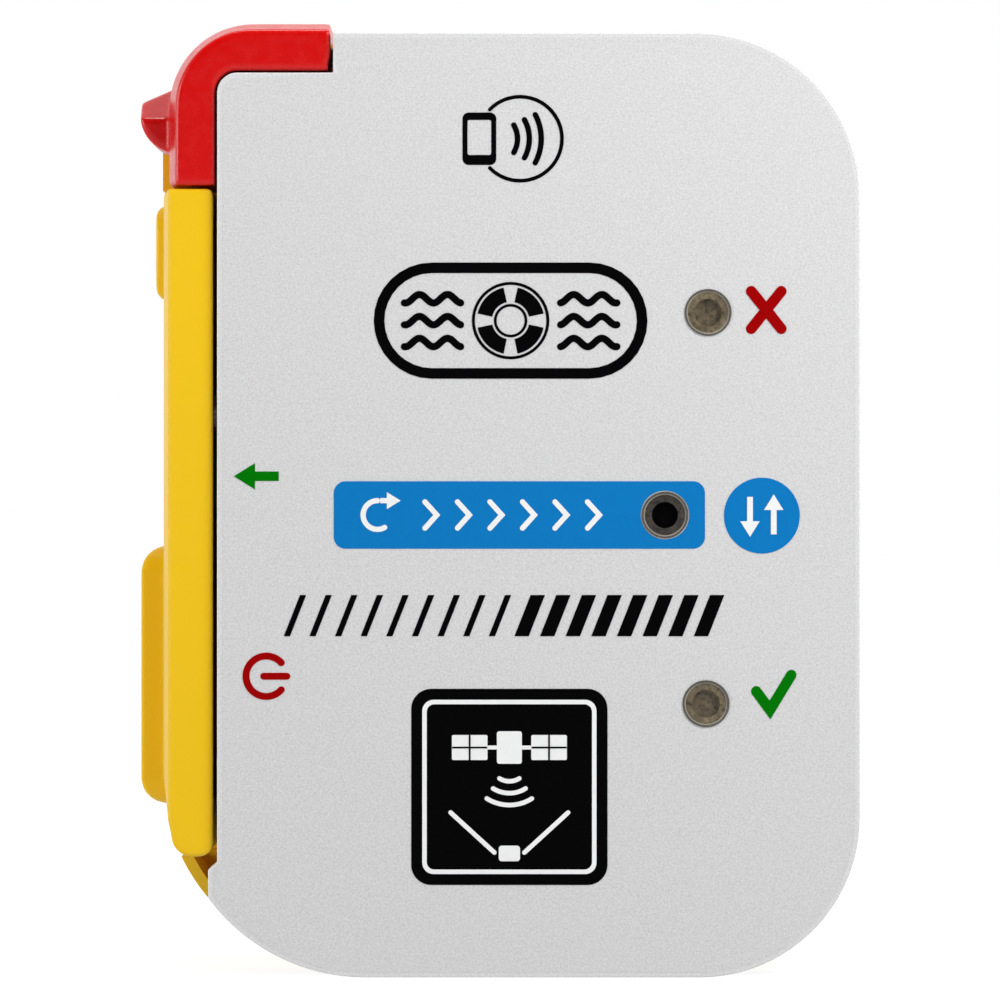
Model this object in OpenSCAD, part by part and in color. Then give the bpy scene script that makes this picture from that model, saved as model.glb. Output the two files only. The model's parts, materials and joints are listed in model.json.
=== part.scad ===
// Hand-held emergency position beacon. The front face looks towards -Y, +X is to its right and +Z is up.
// The origin is the middle of the flat bottom end that the beacon stands on.

/* [Body] */
// Width of the front outline, side flap included
body_w = 55.2; // [54:0.2:58]
// Height of the body
body_h = 75.6; // [74:0.2:80]
// Depth from the front face to the back
body_d = 36; // [36:0.5:38]
// Radius of the top right corner
top_right_r = 13; // [11:0.5:14]
// Radius of the bottom right corner
bottom_right_r = 12.8; // [11:0.2:14]
// Radius of the bottom left corner
bottom_left_r = 15.6; // [15:0.2:16]
// Thickness of the moulded walls
wall = 2; // [1.8:0.1:2.2]
// Depth of the front cover, plate and rim together
cover_d = 5; // [5:0.1:5.4]

/* [Antenna] */
// Width of the flexible blade
blade_w = 10.6; // [9:0.1:10.8]
// Thickness of the flexible blade
blade_t = 1.1; // [0.9:0.1:1.1]
// How far the blade lies below the rim of its groove
blade_sunk = 0.9; // [0.8:0.1:1]
// Width of the groove that the blade lies in
groove_w = 11.4; // [11.4:0.1:12]
// Slot between neighbouring stretches of the blade
bend_gap = 0.4; // [0.36:0.02:0.5]

/* [Side flap] */
// Height of the flap's lower end above the bottom
flap_z0 = 9.55; // [9.4:0.05:9.8]
// Height of the flap's upper end
flap_z1 = 63.2; // [62:0.1:63.2]
// Thickness of the flap's front rim
flap_rim_t = 3.45; // [3.3:0.05:3.5]
// Radius of the hinge pin
pin_r = 0.75; // [0.6:0.05:0.8]
// Clearance round the hinge pin
pin_play = 0.05; // [0.03:0.01:0.08]

/* [Buttons] */
// Travel of the red on button
on_travel = 1; // [0.5:0.1:1]
// Travel of the green test button
test_travel = 0.8; // [0.4:0.1:1]
// Height of the on button's centre
on_z = 24; // [23.6:0.1:24.6]
// Height of the test button's centre
test_z = 41; // [40:0.5:44]

/* [Inside] */
// Diameter of a lithium cell
cell_dia = 17; // [16:0.1:17]
// Length of a lithium cell over its positive end
cell_len = 34.5; // [30:0.5:35]
// Thickness of the circuit boards
board_t = 1.6; // [1.2:0.1:1.8]

/* [Hidden] */
$fn = 96;

eps = 0.01;
through = 40;

// Planes of the body, from front to back and from side to side
front = -body_d / 2;
back = body_d / 2;
right = body_w / 2;
left = -body_w / 2;
groove_y0 = front + cover_d;
groove_y1 = groove_y0 + groove_w;
cover_left = left + 3.76;
cover_left_low = left + 3.04;
cover_step_z = 8.6;
notch_x = -14.56;
notch_z = body_h - 3.2;
notch_r = 1.6;
crown_left = left - 1.3;
crown_tl_r = 8;

// The blade's ring and the floor of its groove
ring_out = blade_sunk;
ring_in = blade_sunk + blade_t;
floor_in = ring_in + 0.1;
ring_left = cover_left + blade_sunk;
ring_bl_r = 10.95;
blade_y1 = (groove_y0 + groove_y1 + blade_w) / 2;
blade_y0 = blade_y1 - blade_w;
turn_x = right - top_right_r;
turn_z = body_h - top_right_r;
bends = 3;
bend_step = 90 / bends;
blade_tip_x = -19.8;
wrap_end_z = 49.6;

// The cap's outer wall, from front to back
cap_r = 6.8;
cap_top = body_h + 0.9;
cap_side = left - 0.2;
cap_y0 = front + 0.4;
cap_y1 = groove_y1 - 0.3;

// The hollow inside, narrow beside the groove and wide behind it
hollow_in = floor_in + 1.9;
hollow_left = ring_left + blade_t + 0.1 + 1.9;
hollow_top = notch_z - wall - 0.1;
wide_left = cover_left + wall;

// Windows and the marks that they stand beside, as [x, z]
window_r = 1.76;
fault_at = [15.44, 53.2];
link_at = [12, 37];
pass_at = [15.28, 21.9];

// Screws
screw_places = [[-16.4, 66.2], [18.4, 66.4], [14.5, 9.2], [-14.4, 9.2]];
screw_r = 1.25;
screw_head_r = 2.3;
screw_head_y = 2;

// Hinge of the side flap
flap_y0 = front + 0.6;
flap_y1 = 13.7;
flap_inner = cover_left - 0.31;
hinge_x = flap_inner - flap_rim_t / 2;
hinge_r = flap_rim_t / 2;
hinge_z = flap_z0 + hinge_r;
heel_r = 1.15;
flap_left = crown_left + 0.3;
pad_at = [6, 23.8];
lug_w = 2;
lug_places = [0.2, 10.2];
lug_r = 1.55;

// Buttons
button_y = 6.2;
on_size = [8.4, 15];
test_size = [7, 9];
on_top = cover_left - 2.8;
test_top = cover_left - 1.6;
flange_x = wide_left + 0.3;
flange_t = 0.8;
button_play = 0.3;
pad_x = flange_x + flange_t + max(on_travel, test_travel) + 0.15;

// Boards and cells
board_y = -11;
board_back = board_y + board_t;
cell_r = cell_dia / 2;
cell_y = back - wall - 1 - cell_r;
cell_z = 24;
cell_xs = [-4.6, 13.4];
cradle_x0 = -14.2;
cradle_x1 = 22.9;
stack_x = cradle_x0 - 1;

// Lanyard eye through the rear flange, with a pocket open to the corner
eye_r = 2.2;
eye_at = [right - bottom_right_r + 6.1, bottom_right_r - 6.1];
eye_flange = 4;
pocket_y0 = 6;

// Colours
case_yellow = "#f0c226";
cover_silver = "#d5d6d5";
clip_red = "#dd0202";
blade_black = "#161616";
board_green = "#1d5a33";
steel = "#b9bcc0";
brass = "#c9a24a";
window_tint = "#6e665a";

// Slab between two planes across the body, drawn in X and Z
module slab(y0, y1) {
    translate([0, y1, 0]) rotate([90, 0, 0]) linear_extrude(y1 - y0) children();
}

// Slab between two planes across the width, drawn in Y and Z
module side_slab(x0, x1) {
    translate([x0, 0, 0]) rotate([90, 0, 90]) linear_extrude(x1 - x0) children();
}

// Straight-sided block between two corners
module block(from, to) {
    translate(from) cube(to - from);
}

module rod_y(at, r, y0, y1) {
    slab(y0, y1) translate(at) circle(r);
}

module rod_x(at, r, x0, x1) {
    side_slab(x0, x1) translate(at) circle(r);
}

// Rounded rectangle with its own radius at each corner
module rounded(x0, x1, z0, z1, tl, tr, br, bl) {
    polygon([[x0 + bl, z0], [x1 - br, z0], [x1, z0 + br], [x1, z1 - tr],
        [x1 - tr, z1], [x0 + tl, z1], [x0, z1 - tl], [x0, z0 + bl]]);
    translate([x0 + tl, z1 - tl]) circle(tl);
    translate([x1 - tr, z1 - tr]) circle(tr);
    translate([x1 - br, z0 + br]) circle(br);
    translate([x0 + bl, z0 + bl]) circle(bl);
}

module pill(size, r) {
    rounded(-size[0] / 2, size[0] / 2, -size[1] / 2, size[1] / 2, r, r, r, r);
}

// Outline of the front cover, set in by a margin: the body's outline with its left side cut back
module cover_outline(in = 0) {
    small_r = notch_r - in * 0.6;
    low_x = cover_left_low + in;
    side_x = cover_left + in;
    ledge_z = notch_z - in;
    intersection() {
        rounded(left + in, right - in, in, body_h - in, 3,
            top_right_r - in, bottom_right_r - in, bottom_left_r - in);
        union() {
            polygon([[low_x, -1], [right + 1, -1], [right + 1, body_h + 1], [notch_x + in, body_h + 1],
                [notch_x + in, ledge_z], [side_x + small_r, ledge_z], [side_x, ledge_z - small_r],
                [side_x, cover_step_z + 0.6], [low_x, cover_step_z]]);
            translate([side_x + small_r, ledge_z - small_r]) circle(small_r);
        }
    }
}

// Outline behind the groove, set in by a margin
module crown_outline(in = 0) {
    rounded(crown_left + in, right - in, in, body_h - in, crown_tl_r - in,
        top_right_r - in, bottom_right_r - in, bottom_left_r - in);
}

// Outline whose edge follows the blade at a given distance inside the rim
module blade_outline(in) {
    step = in - blade_sunk;
    rounded(ring_left + step, right - in, in, body_h - in, 2,
        top_right_r - in, bottom_right_r - in, ring_bl_r - step);
}

module groove_floor() {
    difference() {
        blade_outline(floor_in);
        translate([-through, notch_z - 0.1]) square([through + notch_x + 0.1, through]);
    }
    rounded(cover_left, cover_left + 8, wrap_end_z + 0.4, notch_z - 0.1, notch_r + 0.2, 1, 1, 1);
}

module hollow_outline() {
    rounded(hollow_left, right - hollow_in, hollow_in, hollow_top, 2,
        top_right_r - hollow_in, bottom_right_r - hollow_in, ring_bl_r - 3.1);
}

module wide_outline() {
    rounded(wide_left, right - wall, wall, body_h - wall - 2, 3,
        top_right_r - wall, bottom_right_r - wall, 8);
}

// Corner pocket that a lanyard passes through, grown by a wall
module pocket_outline(grow = 0) {
    translate(eye_at) {
        circle(3.4 + grow);
        rotate(-45) translate([0, -3.1 - grow]) square([12, 6.2 + 2 * grow]);
    }
}

module hinge_circle(r) {
    translate([hinge_x, hinge_z]) circle(r);
}

module case_lugs() {
    for (y = lug_places) {
        slab(y, y + lug_w) {
            hinge_circle(lug_r);
            translate([hinge_x, hinge_z - 0.8]) square([cover_left - hinge_x + 0.5, 1.6]);
        }
    }
}

// Slot inside the outer skin at the bottom left, where water drains from under the flap
module heel_slot_outline() {
    intersection() {
        crown_outline(0.9);
        translate([cover_left - 4, 4.4]) square([4 - 0.5, cover_step_z - 3.4]);
    }
}

module button_opening(z, size, play) {
    side_slab(cover_left - eps, wide_left + eps)
        translate([button_y, z]) pill(size + [2 * play, 2 * play], size[0] / 2 + play - 0.4);
}

module rear_case() {
    color(case_yellow)
    difference() {
        union() {
            slab(groove_y0, groove_y1) groove_floor();
            difference() {
                slab(groove_y1, back) crown_outline();
                block([crown_left - 1, groove_y1 - 1, cover_step_z + 0.3],
                    [cover_left, flap_y1 + 0.3, flap_z1 + 0.4]);
                slab(groove_y1 - 1, flap_y1 - 4) heel_slot_outline();
            }
            case_lugs();
        }
        difference() {
            union() {
                slab(groove_y0 - 1, back - wall) hollow_outline();
                slab(groove_y1 + wall, back - wall) wide_outline();
            }
            for (at = screw_places) rod_y(at, 3.3, board_back, back);
            for (at = screw_places) rod_y(at, 2.6, groove_y0, back);
            slab(pocket_y0 - 1.6, back) pocket_outline(1.6);
        }
        slab(pocket_y0, back - eye_flange) pocket_outline();
        rod_y(eye_at, eye_r, back - eye_flange - 1, back + 1);
        for (at = screw_places) rod_y(at, screw_r + 0.15, groove_y0 - 1, back);
        for (at = screw_places) rod_y(at, screw_head_r + 0.3, screw_head_y - 1.8, back + 1);
        for (y = lug_places) rod_y([hinge_x, hinge_z], pin_r, y - 1, y + lug_w + 1);
        button_opening(on_z, on_size, button_play);
        button_opening(test_z, test_size, button_play);
        rod_x([blade_y0 + blade_w / 2, wrap_end_z - 4], 0.9, cover_left - 3, hollow_left + 1);
        slab(groove_y0 - eps, groove_y0 + 0.45) seal_outline();
        slab(back - 0.3, back + 1) rear_label_outline();
    }
}

module seal_outline() {
    difference() {
        rounded(hollow_left - 1.35, right - hollow_in + 1.35, hollow_in - 1.35, hollow_top + 1.35,
            3.35, top_right_r - hollow_in + 1.35, bottom_right_r - hollow_in + 1.35, ring_bl_r - 1.75);
        rounded(hollow_left - 0.55, right - hollow_in + 0.55, hollow_in - 0.55, hollow_top + 0.55,
            2.55, top_right_r - hollow_in + 0.55, bottom_right_r - hollow_in + 0.55, ring_bl_r - 2.55);
    }
}

module case_seal() {
    color("#2b2b2b") slab(groove_y0 - 0.45, groove_y0 + 0.45) seal_outline();
}

module window_holes(r, y0, y1) {
    for (at = [fault_at, link_at, pass_at]) rod_y(at, r, y0, y1);
}

module front_cover() {
    color(cover_silver)
    difference() {
        slab(front, groove_y0) cover_outline();
        difference() {
            slab(front + wall, groove_y0 + 1) hollow_outline();
            for (at = screw_places) rod_y(at, 2.6, front, groove_y0);
        }
        for (at = screw_places) rod_y(at, screw_r, front + wall + 0.4, groove_y0 + 1);
        slab(front - 1, front + 0.3) cover_outline(0.7);
        window_holes(window_r, front - 1, front + wall + 1);
        slab(groove_y0 - 0.45, groove_y0 + eps) seal_outline();
    }
}

module face_label() {
    color("#dcdddc")
    difference() {
        slab(front, front + 0.3) cover_outline(0.75);
        window_holes(window_r, front - 1, front + 1);
    }
}

module rear_label_outline() {
    rounded(-19, 18, 15, 61, 3, 3, 3, 3);
}

module rear_label() {
    color("#e9e9e6") slab(back - 0.3, back) rear_label_outline();
}

module case_screws() {
    color(steel)
    for (at = screw_places) {
        difference() {
            rod_y(at, screw_head_r, screw_head_y - 1.8, screw_head_y);
            rod_y(at, 0.9, screw_head_y - 1, screw_head_y + 1);
        }
        rod_y(at, screw_r, groove_y0 - 2.4, screw_head_y - 1.8);
    }
}

// Light pipe from the face back to its lamp, held by a collar behind the plate
module window(at, dish_r) {
    difference() {
        union() {
            rod_y(at, window_r, front + 0.1, front + wall);
            rod_y(at, 2.4, front + wall, front + wall + 0.8);
            rod_y(at, 1.5, front + wall + 0.8, board_y - 1.5);
        }
        rod_y(at, dish_r, front - 1, front + 0.7);
    }
}

module fault_window() {
    color(window_tint) window(fault_at, 1.1);
}

module link_window() {
    color("#46403a") window(link_at, 1.05);
}

module pass_window() {
    color(window_tint) window(pass_at, 1.1);
}

module indicator_leds() {
    color("#e8e8dc")
    for (at = [fault_at, link_at, pass_at])
        block([at[0] - 1.4, board_y - 1.1, at[1] - 1.6], [at[0] + 1.4, board_y, at[1] + 1.6]);
}

module main_board() {
    color(board_green)
    difference() {
        slab(board_y, board_back)
            rounded(hollow_left + 0.6, right - hollow_in - 0.6, hollow_in + 0.6, hollow_top - 0.6,
                1.5, 8, 7.6, 7);
        for (at = screw_places) rod_y(at, 2.6, board_y - 1, board_back + 1);
    }
}

// Screening can on the back of the board
module radio_shield() {
    color(steel)
    difference() {
        block([-11, board_back, 40], [9, board_back + 3.6, 62]);
        block([-10.6, board_back - 1, 40.4], [8.6, board_back + 3.2, 61.6]);
    }
}

// Ceramic satellite antenna behind the dark square
module satellite_patch() {
    at = [-0.44, 15.2];
    color("#b7a78d") {
        block([at[0] - 7.5, board_y - 4, at[1] - 7.5], [at[0] + 7.5, board_y, at[1] + 7.5]);
        block([at[0] - 6, board_y - 4.15, at[1] - 6], [at[0] + 6, board_y - 4, at[1] + 6]);
    }
}

// Three flat turns on a carrier film, stuck inside the cover
module contactless_coil() {
    y = front + wall;
    color("#b5743a") {
        slab(y, y + 0.15) translate([0.4, 64]) pill([22, 10], 2.5);
        for (turn = [0 : 2]) {
            slab(y + 0.15, y + 0.3) translate([0.4, 64]) difference() {
                pill([21 - turn * 2.4, 9 - turn * 2.4], 2.2 - turn * 0.5);
                pill([19.8 - turn * 2.4, 7.8 - turn * 2.4], 1.6 - turn * 0.5);
            }
        }
    }
}

// Tray that holds both cells against the back and carries the side board
module battery_cradle() {
    bottom = cell_z - 2;
    top = cell_z + cell_len + 2;
    color("#303236")
    difference() {
        block([cradle_x0, -0.6, bottom], [cradle_x1, back - wall, top]);
        for (x = cell_xs) {
            translate([x, cell_y, cell_z - 0.5]) cylinder(h = cell_len + 1, r = cell_r + 0.15);
            block([x - cell_r - 0.15, -1, cell_z - 0.5],
                [x + cell_r + 0.15, cell_y, cell_z + cell_len + 0.5]);
        }
        block([cell_xs[0], -1, bottom + 9], [cell_xs[1], cell_y - 1, top - 9]);
    }
}

module battery_cell(x) {
    color("#3c6e9c") {
        translate([x, cell_y, cell_z]) cylinder(h = cell_len - 1, r = cell_r);
        translate([x, cell_y, cell_z + cell_len - 1]) cylinder(h = 1, r = 3);
    }
}

module battery_cell_1() {
    battery_cell(cell_xs[0]);
}

module battery_cell_2() {
    battery_cell(cell_xs[1]);
}

module battery_contacts() {
    low = cell_z - 0.5;
    high = cell_z + cell_len;
    color(steel) {
        for (x = cell_xs) block([x - 3.5, cell_y - 3.5, low], [x + 3.5, cell_y + 3.5, cell_z]);
        for (x = cell_xs) block([x - 3.5, cell_y - 3.5, high], [x + 3.5, cell_y + 3.5, high + 0.5]);
    }
}

module button_board() {
    color(board_green) block([stack_x, 0.6, 14.5], [cradle_x0, 12, 48.5]);
}

module button_switches() {
    color("#8d9095")
    for (z = [on_z, test_z]) {
        block([stack_x - 1.4, button_y - 2.6, z - 2.6], [stack_x, button_y + 2.6, z + 2.6]);
        rod_x([button_y, z], 1.3, stack_x - 1.8, stack_x - 1.4);
    }
}

// Rubber sheet over the switches, with a pad under each button
module keypad_membrane() {
    sheet = stack_x - 1.8;
    color("#4a4a48") {
        block([sheet - 0.8, 1.2, 15], [sheet, 11.4, 48]);
        for (z = [on_z, test_z]) rod_x([button_y, z], 2.4, pad_x, sheet - 0.8);
    }
}

// Push button with a flange that keeps it inside the wall
module push_button(z, size, top) {
    translate([0, button_y, z]) {
        side_slab(top, flange_x) pill(size, size[0] / 2 - 0.4);
        side_slab(flange_x, flange_x + flange_t) pill(size + [2.4, 2.4], size[0] / 2 + 0.6);
    }
}

module on_button() {
    color("#c8141c") push_button(on_z, on_size, on_top);
}

module test_button() {
    color("#1f9a3c") push_button(test_z, test_size, test_top);
}

// Side view of the flap, with its lower end turned round the hinge
module flap_profile() {
    polygon([[flap_inner, flap_z0 + heel_r], [flap_inner, flap_z1 - 0.3], [flap_inner - 0.3, flap_z1],
        [flap_left, flap_z1], [flap_left, hinge_z + 4.5], [hinge_x - hinge_r, hinge_z],
        [hinge_x, flap_z0], [flap_inner - heel_r, flap_z0]]);
    translate([flap_inner - heel_r, flap_z0 + heel_r]) circle(heel_r);
    hinge_circle(hinge_r);
}

// Plan of the flap: a thin front rim that swells to the crown behind it
module flap_plan(in = 0) {
    front_t = flap_rim_t + 0.25;
    polygon([[flap_inner + eps, flap_y0 + in], [flap_inner - front_t + in * 0.6, flap_y0 + in],
        [flap_left + in, flap_y0 + 9], [flap_left + in, flap_y1 - in], [flap_inner + eps, flap_y1 - in]]);
}

// Raised pad on the flap, with its upper and lower ends rounded off
module flap_pad(at, size, rise) {
    intersection() {
        side_slab(flap_left - rise, flap_left + 1) translate(at) pill(size, 2.4);
        slab(flap_y0, flap_y1) translate([flap_left - rise + 5, at[1]]) pill([10, size[1]], rise);
    }
}

module flap_shell() {
    intersection() {
        slab(flap_y0, flap_y1) flap_profile();
        linear_extrude(body_h) flap_plan();
    }
    flap_pad(pad_at, [13.6, 21.4], 2.2);
    flap_pad([5, 58.6], [11, 8], 1);
}

module side_flap() {
    rim = 1.7;
    color(case_yellow)
    difference() {
        flap_shell();
        intersection() {
            translate([0, 0, hinge_z + 3]) linear_extrude(flap_z1 - hinge_z - 3 - rim) flap_plan(rim);
            block([flap_left + rim, front, 0], [flap_inner + 1, back, body_h]);
        }
        side_slab(flap_left - 0.6, flap_inner) translate(pad_at) pill([10.4, 18], 1.2);
        for (y = lug_places) slab(y - 0.3, y + lug_w + 0.3) hinge_circle(hinge_r + 0.35);
        rod_y([hinge_x, hinge_z], pin_r + pin_play, flap_y0 + 3, flap_y1 + 1);
    }
}

module flap_pin() {
    color(steel) rod_y([hinge_x, hinge_z], pin_r, lug_places[0] - 2, lug_places[1] + lug_w + 1);
}

// Cross-section of the whole antenna ring
module ring_section() {
    difference() {
        blade_outline(ring_out);
        blade_outline(ring_in);
    }
}

// Sector of the top right turn between two angles up from the +X side
module turn_sector(from, to) {
    reach = 2 * top_right_r;
    translate([turn_x, turn_z])
        polygon([[0, 0], reach * [cos(from), sin(from)], reach * [cos((from + to) / 2), sin((from + to) / 2)],
            reach * [cos(to), sin(to)]]);
}

// Narrow slot at one bending line
module bend_slot(angle) {
    translate([turn_x, turn_z]) rotate(angle)
        translate([5, -bend_gap / 2]) square([top_right_r, bend_gap]);
}

function bend_angle(i) = bend_step * (i - 0.5);

module antenna_link(i) {
    color(blade_black)
    slab(blade_y0, blade_y1) difference() {
        intersection() {
            ring_section();
            turn_sector(bend_angle(i), bend_angle(i + 1));
        }
        bend_slot(bend_angle(i));
        bend_slot(bend_angle(i + 1));
    }
}

module antenna_link_1() {
    antenna_link(1);
}

module antenna_link_2() {
    antenna_link(2);
}

// Stretch that stays in the groove, from the clamp round to the first bending line
module antenna_wrap() {
    color(blade_black)
    difference() {
        slab(blade_y0, blade_y1) difference() {
            intersection() {
                ring_section();
                union() {
                    translate([-through, -1]) square([2 * through, wrap_end_z + 1]);
                    translate([0, -1]) square([through, turn_z + 1]);
                    turn_sector(0, bend_angle(1));
                }
            }
            bend_slot(bend_angle(1));
        }
        rod_x([blade_y0 + blade_w / 2, wrap_end_z - 4], 0.9, cover_left - 3, hollow_left);
    }
}

// Free stretch from the last bending line to the cap
module antenna_blade() {
    color(blade_black)
    slab(blade_y0, blade_y1) difference() {
        intersection() {
            ring_section();
            union() {
                translate([blade_tip_x, turn_z]) square([turn_x - blade_tip_x, through]);
                turn_sector(bend_angle(bends), 90);
            }
        }
        bend_slot(bend_angle(bends));
    }
}

// Room for the cap: its outer edge is bevelled towards the front at the side, the turn and the top
module cap_room() {
    lean = 0.65;
    edge_y = cap_y0 + 3;
    turn = [cap_side + cap_r, cap_top - cap_r];
    rod_y(turn, cap_r, edge_y, cap_y1);
    translate([turn[0], edge_y, turn[1]]) rotate([90, 0, 0])
        cylinder(h = edge_y - cap_y0, r1 = cap_r, r2 = cap_r - lean);
    linear_extrude(turn[1])
        polygon([[cap_side + lean, cap_y0], [right, cap_y0], [right, cap_y1], [cap_side, cap_y1],
            [cap_side, edge_y]]);
    side_slab(turn[0], right)
        polygon([[cap_y0, 0], [cap_y1, 0], [cap_y1, cap_top], [edge_y, cap_top], [cap_y0, cap_top - lean]]);
}

// Red cap on the blade's end: hooks round the top left corner and has a thumb nub
module cap_outline() {
    inner_x = cover_left - 0.2;
    inner_z = notch_z + 0.2;
    inner_r = notch_r + 0.2;
    difference() {
        union() {
            polygon([[cap_side + cap_r, cap_top], [notch_x - 0.24, cap_top], [notch_x - 0.24, inner_z + 1.2],
                [notch_x - 0.6, inner_z], [inner_x, inner_z], [inner_x, flap_z1 + 0.2],
                [cap_side, flap_z1 + 0.2], [cap_side, cap_top - cap_r]]);
            translate([cap_side + cap_r, cap_top - cap_r]) circle(cap_r);
        }
        polygon([[inner_x + inner_r, inner_z], [inner_x, inner_z - inner_r], [inner_x, flap_z1 - 2],
            [inner_x + 12, flap_z1 - 2], [inner_x + 12, inner_z]]);
        translate([inner_x + inner_r, inner_z - inner_r]) circle(inner_r);
    }
}

// Thumb nub: round below, with a top that slopes down towards the front
module cap_nub() {
    nub_r = 3.1;
    nub_x = left + 0.5;
    nub_z = 69.2;
    nub_y0 = groove_y0 - 1;
    nub_y1 = groove_y1 - 2.4;
    intersection() {
        slab(nub_y0, nub_y1) {
            intersection() {
                translate([nub_x, nub_z]) circle(nub_r);
                translate([nub_x - 5, nub_z - 5]) square([5.5, 5.1]);
            }
            polygon([[nub_x + 0.5, nub_z], [nub_x + 0.5, nub_z + 2.9], [nub_x - nub_r, nub_z + 1.1],
                [nub_x - nub_r, nub_z]]);
        }
        side_slab(nub_x - 6, nub_x + 1)
            polygon([[nub_y0 - 1, nub_z - 4], [nub_y1 + 1, nub_z - 4], [nub_y1 + 1, nub_z + 5],
                [nub_y1 - 4, nub_z + 3], [nub_y0, nub_z - 0.3], [nub_y0 - 1, nub_z - 0.6]]);
    }
}

module antenna_cap() {
    color(clip_red)
    difference() {
        union() {
            intersection() {
                slab(cap_y0, cap_y1) cap_outline();
                cap_room();
            }
            cap_nub();
        }
        block([blade_tip_x, blade_y0, body_h - ring_in], [notch_x + 1, blade_y1, body_h - ring_out]);
    }
}

module antenna_clamp() {
    color(brass)
    difference() {
        block([ring_left - 1, blade_y0 + 0.6, wrap_end_z - 7.5],
            [ring_left, blade_y1 - 0.6, wrap_end_z - 0.6]);
        rod_x([blade_y0 + blade_w / 2, wrap_end_z - 4], 0.9, cover_left - 3, hollow_left);
    }
}

module antenna_screw() {
    at = [blade_y0 + blade_w / 2, wrap_end_z - 4];
    color(steel) {
        rod_x(at, 0.9, ring_left - 1, hollow_left + 0.9);
        rod_x(at, 1.8, ring_left - 1.9, ring_left - 1);
    }
}

// Brass strip from the antenna screw to the back of the board
module antenna_feed() {
    z = wrap_end_z - 4;
    color(brass)
    difference() {
        union() {
            block([hollow_left, board_back, z - 2.5], [hollow_left + 0.5, groove_y1 - 1, z + 2.5]);
            block([hollow_left, board_back, z - 2.5], [hollow_left + 4, board_back + 0.5, z + 2.5]);
        }
        rod_x([blade_y0 + blade_w / 2, z], 0.9, hollow_left - 1, hollow_left + 1);
    }
}

rear_case();
front_cover();
face_label();
rear_label();
case_seal();
case_screws();
fault_window();
link_window();
pass_window();
indicator_leds();
main_board();
radio_shield();
satellite_patch();
contactless_coil();
battery_cradle();
battery_cell_1();
battery_cell_2();
battery_contacts();
button_board();
button_switches();
keypad_membrane();
on_button();
test_button();
side_flap();
flap_pin();
antenna_clamp();
antenna_screw();
antenna_feed();
antenna_wrap();
antenna_link_1();
antenna_link_2();
antenna_blade();
antenna_cap();
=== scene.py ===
"""Looks of the pocket distress beacon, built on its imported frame.

Metres throughout. +Z is up and the face looks towards -Y. The printed marks alone are given in
millimetres, as (x, z) on the face.
"""

import json
import math

import bmesh
import bpy
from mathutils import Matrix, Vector
from mathutils.geometry import tessellate_polygon


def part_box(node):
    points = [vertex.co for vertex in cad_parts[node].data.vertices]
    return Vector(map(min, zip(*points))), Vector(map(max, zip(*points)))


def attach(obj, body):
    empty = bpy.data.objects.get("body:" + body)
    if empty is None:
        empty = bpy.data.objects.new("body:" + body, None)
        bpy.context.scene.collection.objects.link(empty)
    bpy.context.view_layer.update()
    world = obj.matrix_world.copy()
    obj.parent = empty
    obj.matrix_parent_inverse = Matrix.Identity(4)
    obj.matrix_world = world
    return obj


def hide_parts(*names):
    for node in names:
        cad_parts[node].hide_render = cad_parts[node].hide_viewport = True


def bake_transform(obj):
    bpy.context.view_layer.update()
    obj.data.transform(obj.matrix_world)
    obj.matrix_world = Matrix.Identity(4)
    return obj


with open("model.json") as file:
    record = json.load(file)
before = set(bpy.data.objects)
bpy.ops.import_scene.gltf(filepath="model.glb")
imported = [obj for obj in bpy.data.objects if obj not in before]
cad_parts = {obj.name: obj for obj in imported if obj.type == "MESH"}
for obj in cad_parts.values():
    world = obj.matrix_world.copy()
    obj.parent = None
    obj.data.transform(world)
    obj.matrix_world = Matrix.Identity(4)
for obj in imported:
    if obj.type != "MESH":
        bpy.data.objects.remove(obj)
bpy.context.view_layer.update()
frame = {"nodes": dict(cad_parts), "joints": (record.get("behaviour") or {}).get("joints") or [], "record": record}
NODES = frame["nodes"]

MM = 0.001
# How far the face's film laps over the edge of its recess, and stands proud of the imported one
FILM_LAP = 0.00037
FILM_PROUD = 0.00002
FACE_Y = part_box("face_label")[0][1] - FILM_PROUD
BACK_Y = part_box("rear_label")[1][1]
# Height of one layer of ink
INK_LIFT = 0.00003
# Points closer together than this are one point
SAME_POINT = 0.000002
# Degrees below which two faces are one flat face, and above which they meet at a sharp edge
FLAT_ANGLE = 0.4
EDGE_ANGLE = 35.0
# Rectangle on the back that holds the label's recess and the screw holes
BACK_INNER_X = (-0.0195, 0.0235)
BACK_INNER_Z = (0.0042, 0.07)


# ---------------------------------------------------------------- materials


def linear(red, green, blue):
    """Linear colour of an sRGB one given in 0 to 255."""
    parts = [c / 255 for c in (red, green, blue)]
    return [c / 12.92 if c <= 0.04045 else ((c + 0.055) / 1.055) ** 2.4 for c in parts] + [1.0]


def scaled(colour, factor, offset=0.0):
    """The linear colour with its three channels multiplied and raised, none above one."""
    return [min(1.0, c * factor + offset) for c in colour[:3]] + [1.0]


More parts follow.
